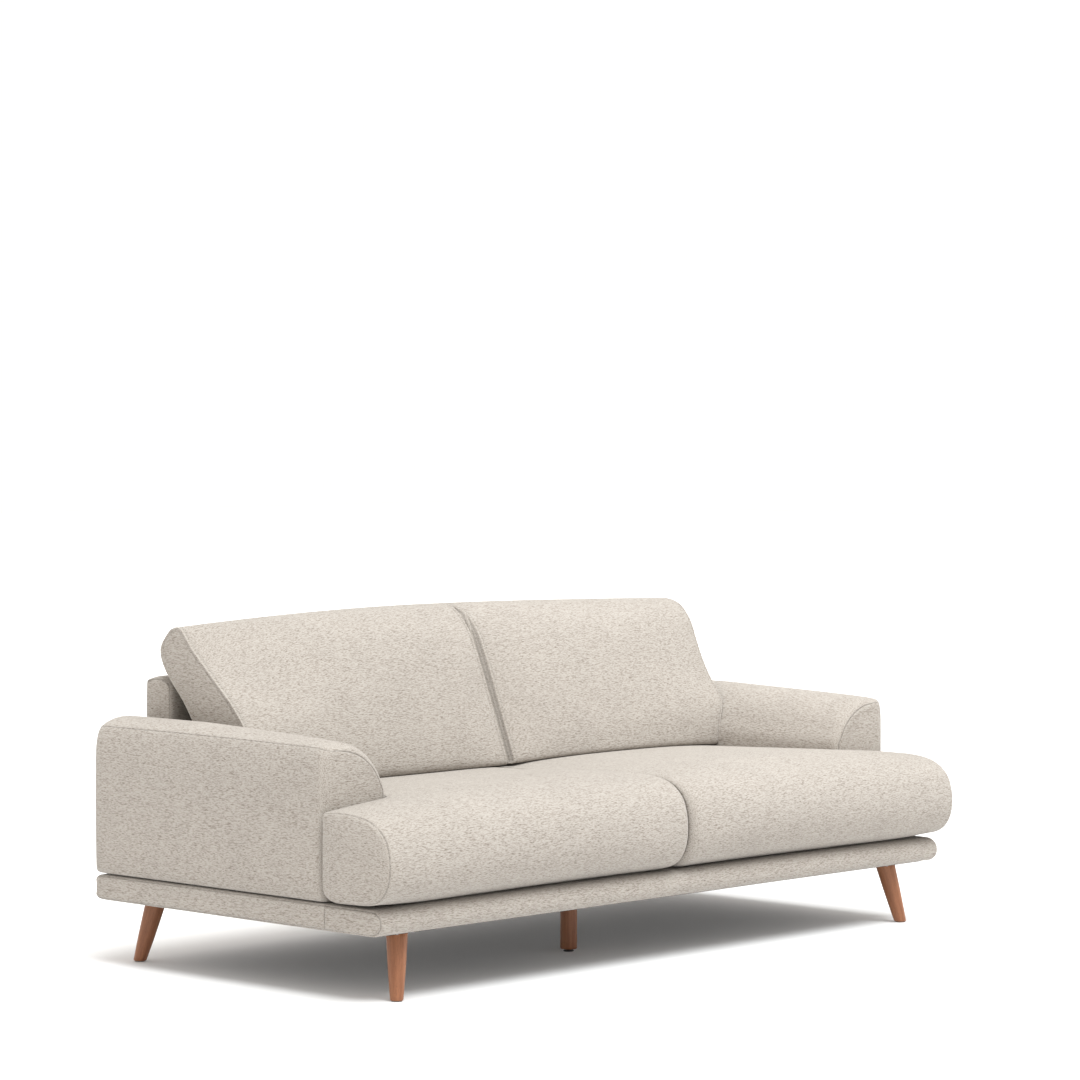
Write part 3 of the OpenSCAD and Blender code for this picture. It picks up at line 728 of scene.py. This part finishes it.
def clear_seat(side, x, y, z):
    """Keeps a seat off its neighbours and the platform, and flat at its zip."""
    x = max(x, SEAT_CENTRE_GAP)
    z = max(z, PLATFORM_HIGH[2] + SEAT_PLATFORM_GAP)
    if y > SEAT_REAR_Y:
        y = lerp(min(y, SEAT_HIGH[1]), SEAT_HIGH[1], zip_pull(x, z, *SEAT_ZIP))
    if y > EAR_REAR + EAR_ZONE:
        x = min(x, ARM_LOW[0] - SEAT_ARM_GAP)
    elif x > ARM_LOW[0] - SEAT_ARM_GAP:
        y = min(y, EAR_REAR + EAR_REAR_ROOM)
    if y > UNDER_Y:
        room = UNDER_ROOM * (1 - smooth((y - UNDER_Y) / UNDER_REACH))
        z = min(z, contact_height(side, x) - SEAT_CUSHION_GAP + room)
    return x, y, z


def back_zip_plane(z):
    """Y of the plane just inside the back cushion's zip, at this height. The zip leans with the cushion."""
    tape_depth, tape_rise = BACK_ZIP_HIGH[1] - BACK_ZIP_LOW[1], BACK_ZIP_HIGH[2] - BACK_ZIP_LOW[2]
    lean = math.atan2(tape_depth, tape_rise)
    return BACK_ZIP_LOW[1] - BACK_ZIP_INSET + (z - BACK_ZIP_LOW[2] - BACK_ZIP_EDGE) * math.tan(lean)


def clear_back_cushion(side, x, y, z):
    """Keeps a back cushion off its neighbours and the back frame, and flat at its zip."""
    x = max(x, CUSHION_CENTRE_GAP)
    x = min(x, arm_inner_face(z + 2) - CUSHION_ARM_GAP)
    z = max(z, contact_height(side, x) + CUSHION_SEAT_GAP)
    if y > CUSHION_REAR_Y and z < BACK_ZIP_HIGH[2] + ZIP_MARGIN:
        y = lerp(y, back_zip_plane(z), zip_pull(x, z, BACK_ZIP_LOW, BACK_ZIP_HIGH))
    corner_y, corner_z = BACK_LOW[1] + BACK_FRONT_R, BACK_HIGH[2] - BACK_FRONT_R
    radius = BACK_FRONT_R + CUSHION_FRAME_GAP
    over_frame = y > corner_y and z < BACK_HIGH[2] + CUSHION_FRAME_GAP
    if z < corner_z:
        y = min(y, BACK_LOW[1] - CUSHION_FRAME_GAP)
    elif over_frame or math.hypot(y - corner_y, z - corner_z) < radius:
        y = corner_y - math.sqrt(max(0.0, radius**2 - (z - corner_z) ** 2))
    return x, y, z


# ---- seams ----

SEAM_WIDTH = 6.0
SEAM_SAMPLE = 3.0
SEAM_DEPTH = 1.9


def seam_samples(mesh):
    """Points along all sewn edges, close together."""
    points = []
    for edge in mesh.edges:
        if not edge.use_seam:
            continue
        a, b = (mesh.vertices[v].co for v in edge.vertices)
        count = max(2, math.ceil((b - a).length / MM / SEAM_SAMPLE))
        points += [a.lerp(b, n / count) for n in range(count)]
    return points


def hump(distance, centre, width):
    """A bell-shaped hump of height 1 round this centre."""
    return np.exp(-(((distance - centre) / width) ** 2))


def sew(obj, ridge=False):
    """Rounds the sewn edges, subdivides, and presses the sewn line in, or raises it between two grooves."""
    samples = seam_samples(obj.data)
    bm = bmesh.new()
    bm.from_mesh(obj.data)
    sewn = [e for e in bm.edges if e.seam]
    bmesh.ops.bevel(
        bm, geom=sewn, offset=SEAM_WIDTH * MM, offset_type="OFFSET", segments=6, profile=0.5,
        affect="EDGES", clamp_overlap=True)
    for e in bm.edges:
        e.seam = False
    bm.to_mesh(obj.data)
    bm.free()
    smoothing = obj.modifiers.new("subdivision", "SUBSURF")
    smoothing.levels = smoothing.render_levels = 1
    graph = bpy.context.evaluated_depsgraph_get()
    fine = bpy.data.meshes.new_from_object(obj.evaluated_get(graph))
    obj.modifiers.clear()
    obj.data = fine
    fine.polygons.foreach_set("use_smooth", [True] * len(fine.polygons))
    # The sewn attribute holds painted shade along the seams' grooves and a painted highlight on a raised
    # seam's crest; the fabric darkens or lightens its colour by it.
    shade = fine.attributes.new("sewn", "FLOAT", "POINT")
    values = np.zeros(len(fine.vertices))
    if samples:
        corners, faces = [v.co for v in fine.vertices], [tuple(p.vertices) for p in fine.polygons]
        tree = BVHTree.FromPolygons(corners, faces)
        near = KDTree(len(samples))
        for n, point in enumerate(samples):
            near.insert(tree.find_nearest(point)[0], n)
        near.balance()
        points = coordinates(fine)
        normals = np.array([v.normal for v in fine.vertices])
        distance = np.array([near.find(p)[2] for p in points]) / MM
        if ridge:
            lift = 0.9 * hump(distance, 0, 2.4) - 1.1 * hump(distance, SEAM_WIDTH, 2.0)
            # Painted shade in the two grooves beside the raised line, and a faint painted highlight on its
            # crest
            values = 0.55 * hump(distance, SEAM_WIDTH, 1.8) - 0.12 * hump(distance, 0, 2.4)
        else:
            lift = -SEAM_DEPTH * hump(distance, 0, 2.0) + 0.35 * SEAM_DEPTH * hump(distance, 8, 4)
            # Painted shade along the bottom of the pressed-in groove
            values = hump(distance, 0, 1.7)
        set_coordinates(fine, points + normals * (lift * MM)[:, None])
    shade.data.foreach_set("value", values.astype(np.float32))
    return obj


# ---- materials ----

class Nodes:
    """A material's node tree, with short ways to add nodes and link them."""

    def __init__(self, name):
        self.material = bpy.data.materials.new(name)
        self.material.use_nodes = True
        self.tree = self.material.node_tree
        self.tree.nodes.clear()
        output = self.tree.nodes.new("ShaderNodeOutputMaterial")
        self.shader = self.tree.nodes.new("ShaderNodeBsdfPrincipled")
        self.feed(output, "Surface", self.shader.outputs[0])
        self.coordinates = self.add("TexCoord").outputs

    def feed(self, node, key, value):
        """Links a socket to a node's input, or sets the input to a plain value."""
        if isinstance(value, bpy.types.NodeSocket):
            self.tree.links.new(value, node.inputs[key])
        else:
            node.inputs[key].default_value = value

    def add(self, kind, inputs=(), **settings):
        node = self.tree.nodes.new("ShaderNode" + kind)
        for key, value in settings.items():
            setattr(node, key, value)
        for key, value in dict(inputs).items():
            self.feed(node, key, value)
        return node

    def math(self, operation, a, b=0.0):
        return self.add("Math", {0: a, 1: b}, operation=operation).outputs[0]

    def times(self, a, b):
        return self.math("MULTIPLY", a, b)

    def plus(self, a, b):
        return self.math("ADD", a, b)

    def scaled(self, colour, factor):
        return self.add("VectorMath", {0: colour, "Scale": factor}, operation="SCALE").outputs[0]

    def bump(self, strength, distance, height):
        return self.add("Bump", {"Strength": strength, "Distance": distance, "Height": height}).outputs[0]

    def mix(self, factor, a, b):
        return self.add("Mix", {0: factor, 2: a, 3: b}, data_type="FLOAT").outputs[0]

    def mix_colour(self, factor, a, b):
        return self.add("Mix", {0: factor, 6: a, 7: b}, data_type="RGBA").outputs[2]

    def spread(self, value, low, high, to_low=0.0, to_high=1.0):
        """Maps value from one range to another, held at its ends."""
        node = self.add("MapRange", {0: value, 1: low, 2: high, 3: to_low, 4: to_high}, clamp=True)
        return node.outputs[0]

    def noise(self, scale, detail=2.0, roughness=0.5):
        """Noise whose grain is 1 / scale metres along each axis of the object."""
        stretched = self.add("VectorMath", {0: self.coordinates["Object"], 1: scale}, operation="MULTIPLY")
        inputs = {"Vector": stretched.outputs[0], "Scale": 1.0, "Detail": detail, "Roughness": roughness}
        return self.add("TexNoise", inputs).outputs[0]

    def set(self, **values):
        """Feeds the shader's inputs. An underscore in a name stands for a space."""
        for key, value in values.items():
            self.feed(self.shader, key.replace("_", " "), value)


CREAM = (0.376, 0.347, 0.313, 1)
SAND = (0.190, 0.158, 0.131, 1)
TAUPE = (0.098, 0.070, 0.054, 1)


def fabric(name, runs_back=False):
    """A heathered chenille weave.

    Its yarn runs across the sofa, and rearwards on the faces that look sideways. runs_back is for the arms,
    whose yarn runs rearwards on all but their front and rear faces.
    """
    n = Nodes(name)
    normal = n.add("SeparateXYZ", {0: n.coordinates["Normal"]})
    facing = n.math("ABSOLUTE", normal.outputs[1 if runs_back else 0])
    turned = n.spread(facing, 0.62, 0.78, 1.0 if runs_back else 0.0, 0.0 if runs_back else 1.0)

    def yarn(along, across, detail, roughness=0.55):
        """Streaks with this many grains in a metre along the yarn and across it."""
        one = n.noise((along, across, across), detail, roughness)
        two = n.noise((across, along, across), detail, roughness)
        return n.mix(turned, one, two)

    slub = yarn(105.0, 640.0, 2.0, 0.6)
    long_slub = yarn(42.0, 500.0, 2.0)
    fleck = yarn(95.0, 700.0, 1.0)
    weave = yarn(500.0, 1300.0, 1.0)
    cloud = n.noise((9.0, 9.0, 9.0), 2.0)
    # The seams' painted shade and painted highlight, stored by sew
    sewn = n.add("Attribute", attribute_name="sewn").outputs["Fac"]

    streak = n.plus(n.times(slub, 0.72), n.times(long_slub, 0.28))
    colour = n.mix_colour(n.spread(streak, 0.345, 0.535), SAND, CREAM)
    dark = n.times(n.spread(fleck, 0.42, 0.27), n.spread(streak, 0.54, 0.38))
    colour = n.mix_colour(n.times(dark, 0.75), colour, TAUPE)
    shade = n.plus(1.0, n.times(n.math("SUBTRACT", cloud, 0.5), 0.12))
    shade = n.times(shade, n.spread(weave, 0.25, 0.75, 0.93, 1.07))
    # Painted shade darkens the colour in the seam grooves, and a painted highlight lightens a raised seam's
    # crest
    shade = n.times(shade, n.math("SUBTRACT", 1.0, n.times(sewn, 0.34)))
    height = n.plus(n.plus(n.times(slub, 0.9), n.times(weave, 0.5)), n.times(fleck, 0.5))
    n.set(
        Base_Color=n.scaled(colour, shade), Normal=n.bump(0.55, 0.0022, height), Roughness=0.96,
        Sheen_Weight=0.18, Sheen_Roughness=0.5, Specular_IOR_Level=0.18)
    return n.material


def wood(name, light, dark, roughness):
    """Wood with its grain along Z: soft bands, fine fibres and short dark pores."""
    n = Nodes(name)
    bands = n.noise((70.0, 70.0, 3.5), 3.0, 0.6)
    fibres = n.noise((900.0, 900.0, 22.0), 2.0)
    pores = n.noise((1500.0, 1500.0, 110.0), 1.0)
    tone = n.plus(n.times(bands, 0.7), n.times(fibres, 0.3))
    colour = n.mix_colour(n.spread(tone, 0.36, 0.64), dark, light)
    pore_colour = tuple(c * 0.35 for c in dark[:3]) + (1,)
    colour = n.mix_colour(n.times(n.spread(pores, 0.36, 0.27), 0.55), colour, pore_colour)
    n.set(
        Base_Color=colour, Roughness=n.spread(bands, 0.3, 0.7, roughness + 0.08, roughness - 0.04),
        Normal=n.bump(0.35, 0.0004, fibres), Coat_Weight=0.05, Coat_Roughness=0.4, Specular_IOR_Level=0.35)
    return n.material


def plain(name, colour, roughness, metallic=0.0, grain=400.0, contrast=0.12, bump_depth=0.0002):
    """A finish with a fine speckle in its colour and surface, and clouds in its colour and roughness."""
    n = Nodes(name)
    speck = n.noise((grain, grain, grain), 3.0)
    cloud = n.noise((12.0, 12.0, 12.0), 2.0)
    tone = n.plus(n.times(speck, 0.6), n.times(cloud, 0.4))
    low = tuple(c * (1 - contrast) for c in colour) + (1,)
    high = tuple(min(1.0, c * (1 + contrast)) for c in colour) + (1,)
    n.set(
        Base_Color=n.mix_colour(n.spread(tone, 0.3, 0.7), low, high),
        Roughness=n.spread(cloud, 0.3, 0.7, roughness - 0.06, roughness + 0.06),
        Normal=n.bump(0.5, bump_depth, speck), Metallic=metallic)
    return n.material


def woven_strap(name, colour, pitch):
    """A strap, tape or cloth with fine bumps in rows along X and Y, this pitch apart."""
    n = Nodes(name)
    parts = n.add("SeparateXYZ", {0: n.coordinates["Object"]})
    ribs = [n.math("SINE", n.times(parts.outputs[axis], 2 * math.pi / pitch)) for axis in (0, 1)]
    weave = n.times(ribs[0], ribs[1])
    n.set(
        Base_Color=n.scaled(colour, n.spread(weave, -1.0, 1.0, 0.75, 1.2)),
        Normal=n.bump(0.6, pitch / 6, weave), Roughness=0.95, Specular_IOR_Level=0.05)
    return n.material


def dress(obj, material):
    obj.data.materials.clear()
    obj.data.materials.append(material)


def dress_node(name, material):
    """Puts a finish on a CAD node that stays in view."""
    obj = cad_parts[name]
    if not obj.material_slots:
        obj.data.materials.append(material)
    for slot in obj.material_slots:
        slot.material = material


# ---- legs ----

LEG_SIDES = 64


def turned(name, rings, matrix=Matrix.Identity(4)):
    """A closed turned shape from rings of (centre, radius, stretch direction, stretch), in millimetres."""
    verts, faces = [], []
    for centre, radius, along, stretch in rings:
        for n in range(LEG_SIDES):
            a = 2 * math.pi * n / LEG_SIDES
            offset = Vector((math.cos(a), math.sin(a), 0)) * radius
            offset += along * (offset.dot(along) * (stretch - 1))
            verts.append((Vector(centre) + offset) * MM)
    for ring in range(len(rings) - 1):
        for n in range(LEG_SIDES):
            a, b = ring * LEG_SIDES + n, ring * LEG_SIDES + (n + 1) % LEG_SIDES
            faces.append([a, b, b + LEG_SIDES, a + LEG_SIDES])
    faces.append(list(range(LEG_SIDES))[::-1])
    faces.append([(len(rings) - 1) * LEG_SIDES + n for n in range(LEG_SIDES)])
    back = matrix.inverted()
    obj = new_object(name, [back @ v for v in verts], faces)
    obj.matrix_world = matrix
    obj.data.polygons.foreach_set("use_smooth", [len(p.vertices) == 4 for p in obj.data.polygons])
    return obj


def corner_leg(node):
    """A round tapered leg that leans inwards as it rises, with its foot on its felt pad."""
    low, high = box_mm(node)
    foot_r, top_r, edge, pad_r = 15.3, 25.5, 2.0, 12.3
    lean, fullest = 30.0, 0.9
    across, back = (1 if high[0] > 0 else -1), (1 if high[1] > 0 else -1)
    pads = box_mm("foot_pads")
    foot = Vector((across * (pads[1][0] - pad_r), 0, 0))
    foot.y = pads[1][1] - pad_r if back > 0 else pads[0][1] + pad_r
    top = Vector((foot.x - across * lean, foot.y - back * lean, high[2]))
    axis = (top - foot).normalized()
    flat = Vector((axis.x, axis.y, 0)).normalized()
    stretch = 1 / axis.z
    levels = [(low[2], -1.2), (low[2] + 0.9, -0.4)]
    levels += [(lerp(low[2] + edge, high[2] - 1.5, n / 14), 0.0) for n in range(15)] + [(high[2], -0.8)]
    rings = []
    for z, trim in levels:
        t = z / high[2]
        swell = fullest * math.sin(math.pi * t)
        rings.append((foot.lerp(top, t), lerp(foot_r, top_r, t) + trim + swell, flat, stretch))
    turn = Vector((0, 0, 1)).rotation_difference(axis).to_matrix().to_4x4()
    return turned(node + "_turned", rings, Matrix.Translation(foot * MM) @ turn)


def upright(name, low, high, outline):
    """A turned shape that stands upright in a CAD box, from its outline of (z, radius)."""
    x, y = (low[0] + high[0]) / 2, (low[1] + high[1]) / 2
    return turned(name, [((x, y, z), radius, Vector((1, 0, 0)), 1.0) for z, radius in outline])


def centre_leg():
    """A straight round leg with a softened lower edge."""
    low, high = box_mm("centre_leg")
    radius, edge = (high[0] - low[0]) / 2, 2.2
    outline = [(low[2], radius - 1.5), (low[2] + 0.8, radius - 0.5)]
    outline += [(lerp(low[2] + edge, high[2], n / 8), radius) for n in range(9)]
    return upright("centre_leg_turned", low, high, outline)


def levelling_foot():
    """A moulded glide: a flat-based disc with a rounded rim and a collar, on a threaded stem."""
    low, high = box_mm("levelling_foot")
    radius = (high[0] - low[0]) / 2
    stem, thread_start, thread_pitch = 3.9, 7.0, 1.25
    outline = [
        (0.0, radius - 1.0), (0.6, radius - 0.2), (1.4, radius), (3.0, radius - 0.4), (4.0, radius - 2.2),
        (4.3, radius - 4.6), (4.5, 6.4), (5.1, 6.0), (5.3, stem),
    ]
    for n in range(int((high[2] - 7.5) / thread_pitch)):
        z = thread_start + n * thread_pitch
        outline += [(z, stem - 0.5), (z + thread_pitch / 2, stem)]
    outline.append((high[2], stem - 0.6))
    return upright("levelling_glide", low, high, outline)


# ---- studio ----

def add_lamp(name, kind, energy, source):
    """Adds a light that shines from the source's direction."""
    lamp = bpy.data.objects.new(name, bpy.data.lights.new(name, kind))
    lamp.data.energy = energy
    lamp.rotation_euler = source.to_track_quat("Z", "Y").to_euler()
    scene.collection.objects.link(lamp)
    return lamp


def studio():
    world = bpy.data.worlds.new("studio")
    world.use_nodes = True
    background = world.node_tree.nodes["Background"]
    background.inputs["Color"].default_value = (1.0, 0.960, 0.920, 1)
    background.inputs["Strength"].default_value = 1.09
    scene.world = world
    scene.view_settings.view_transform = "Standard"

    far = 30
    corners = [(-far, -far, 0), (far, -far, 0), (far, far, 0), (-far, far, 0)]
    floor = new_object("floor", corners, [[0, 1, 2, 3]])
    n = Nodes("floor_paint")
    speck = n.noise((300.0, 300.0, 300.0), 2.0)
    paint = n.mix_colour(speck, (0.79, 0.79, 0.79, 1), (0.81, 0.81, 0.81, 1))
    n.set(
        Base_Color=paint, Roughness=0.9, Specular_IOR_Level=0.1,
        Emission_Color=(1, 1, 1, 1), Emission_Strength=0.05)
    dress(floor, n.material)

    key = add_lamp("key", "SUN", 4.0, Vector((-0.04, -0.38, 0.92)))
    key.data.angle = math.radians(42)
    key.data.color = (0.95, 0.985, 1.0)
    place, aimed_at = Vector((-0.9, -0.9, 1.9)), Vector((0.85, 0.0, 0.50))
    fill = add_lamp("fill", "SPOT", 85.0, place - aimed_at)
    fill.location = place
    fill.data.spot_size, fill.data.spot_blend = math.radians(34), 1.0
    fill.data.shadow_soft_size = 0.5


def camera():
    """A long lens, seen from the front left, a little above the sofa."""
    heading, pitch, roll = 0.8145, -0.0361, -0.0024
    level = math.cos(pitch)
    ahead = Vector((math.sin(heading) * level, math.cos(heading) * level, math.sin(pitch)))
    right = Vector((math.cos(heading), -math.sin(heading), 0))
    up = right.cross(ahead)
    across = right * math.cos(roll) - up * math.sin(roll)
    upright = right * math.sin(roll) + up * math.cos(roll)
    lens = bpy.data.cameras.new("camera")
    lens.sensor_width = 36
    lens.lens = 127.03
    lens.clip_end = 200
    eye = bpy.data.objects.new("camera", lens)
    turn = Matrix((across, upright, -ahead)).transposed().to_4x4()
    eye.matrix_world = Matrix.Translation((-7.0879, -6.6767, 1.3833)) @ turn
    scene.collection.objects.link(eye)
    scene.camera = eye


# ---- the making ----

camera()
studio()

SIDES = ("left", "right")
seats = {side: seat_cushion(side) for side in SIDES}
backs = {side: back_cushion(side) for side in SIDES}
arms = {side: arm(side) for side in SIDES}
back_skin = back_frame()
platform_skin = platform()

swelling = [(piece, LOOSE_TRAVEL) for piece in (*seats.values(), *backs.values())]
swelling += [(piece, FIXED_TRAVEL) for piece in (*arms.values(), back_skin, platform_skin)]
for side in SIDES:
    add_air(seats[side], SEAT_AIR)
    add_air(backs[side], CUSHION_AIR)
    add_air(arms[side], ARM_AIR)
add_air(back_skin, FRAME_AIR)
add_air(platform_skin, FRAME_AIR)
simulate(swelling)

for side in SIDES:
    keep_clear(seats[side], side, clear_seat)
    keep_clear(backs[side], side, clear_back_cushion)

for side in SIDES:
    sew(seats[side])
    sew(backs[side], ridge=True)
    sew(arms[side])
sew(back_skin)
sew(platform_skin)

upholstery = fabric("upholstery")
arm_upholstery = fabric("arm_upholstery", runs_back=True)


def upholster(piece, finish, body, fill, *replaced):
    dress(piece, finish)
    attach(piece, body)
    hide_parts(*replaced)


for side in SIDES:
    upholster(
        seats[side], upholstery, f"seat_cushion_{side}", 0.85, f"seat_cover_{side}", f"seat_core_{side}")
    upholster(
        backs[side], upholstery, f"back_cushion_{side}", 0.75,
        f"back_cushion_cover_{side}", f"back_core_{side}")
    upholster(arms[side], arm_upholstery, "sofa_frame", 0.95, f"arm_cover_{side}", f"arm_padding_{side}")
upholster(back_skin, upholstery, "sofa_frame", 0.95, "back_cover", "back_padding")
upholster(platform_skin, upholstery, "sofa_frame", 1.0, "platform_cover", "platform_padding", "deck_pad")

leg_wood = wood("leg_wood", (0.318, 0.134, 0.063, 1), (0.190, 0.072, 0.033, 1), 0.48)
for node in ("leg_front_left", "leg_front_right", "leg_rear_left", "leg_rear_right", "centre_leg"):
    leg = centre_leg() if node == "centre_leg" else corner_leg(node)
    dress(leg, leg_wood)
    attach(leg, "sofa_frame")
    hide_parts(node)
glide = levelling_foot()
dress(glide, plain("black_plastic", (0.018, 0.018, 0.019), 0.42, grain=900.0))
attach(glide, "levelling_foot")
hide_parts("levelling_foot")

timber = wood("frame_timber", (0.62, 0.43, 0.25, 1), (0.47, 0.30, 0.16, 1), 0.6)
steel = plain("steel", (0.56, 0.56, 0.57), 0.34, metallic=1.0, contrast=0.08)
zip_metal = plain("zip_metal", (0.50, 0.48, 0.44), 0.3, metallic=1.0, contrast=0.08)
felt = plain("felt", (0.16, 0.14, 0.12), 0.95, grain=1400.0, contrast=0.3, bump_depth=0.0006)
dust_cloth = woven_strap("dust_cloth", (0.030, 0.030, 0.032), 0.0016)
strap = woven_strap("webbing", (0.045, 0.042, 0.040), 0.006)
zip_tape = woven_strap("zip_tape", (0.42, 0.37, 0.31), 0.0014)
FINISHES = [
    (timber, "front_rail rear_rail side_rail_left side_rail_right cross_rail_left cross_rail_centre"),
    (timber, "cross_rail_right corner_blocks centre_leg_block back_bottom_rail back_top_rail back_posts"),
    (timber, "arm_posts_left arm_top_rail_left arm_bottom_rail_left"),
    (timber, "arm_posts_right arm_top_rail_right arm_bottom_rail_right"),
    (steel, "leg_plates plate_screws hanger_bolts leg_nuts levelling_insert frame_bolts"),
    (strap, "seat_webbing back_webbing"),
    (dust_cloth, "dust_cover"),
    (felt, "foot_pads"),
    (zip_tape, "seat_zip_left back_zip_left seat_zip_right back_zip_right"),
    (zip_metal, "seat_zip_slider_left back_zip_slider_left seat_zip_slider_right back_zip_slider_right"),
]
for finish, named in FINISHES:
    for node in named.split():
        dress_node(node, finish)
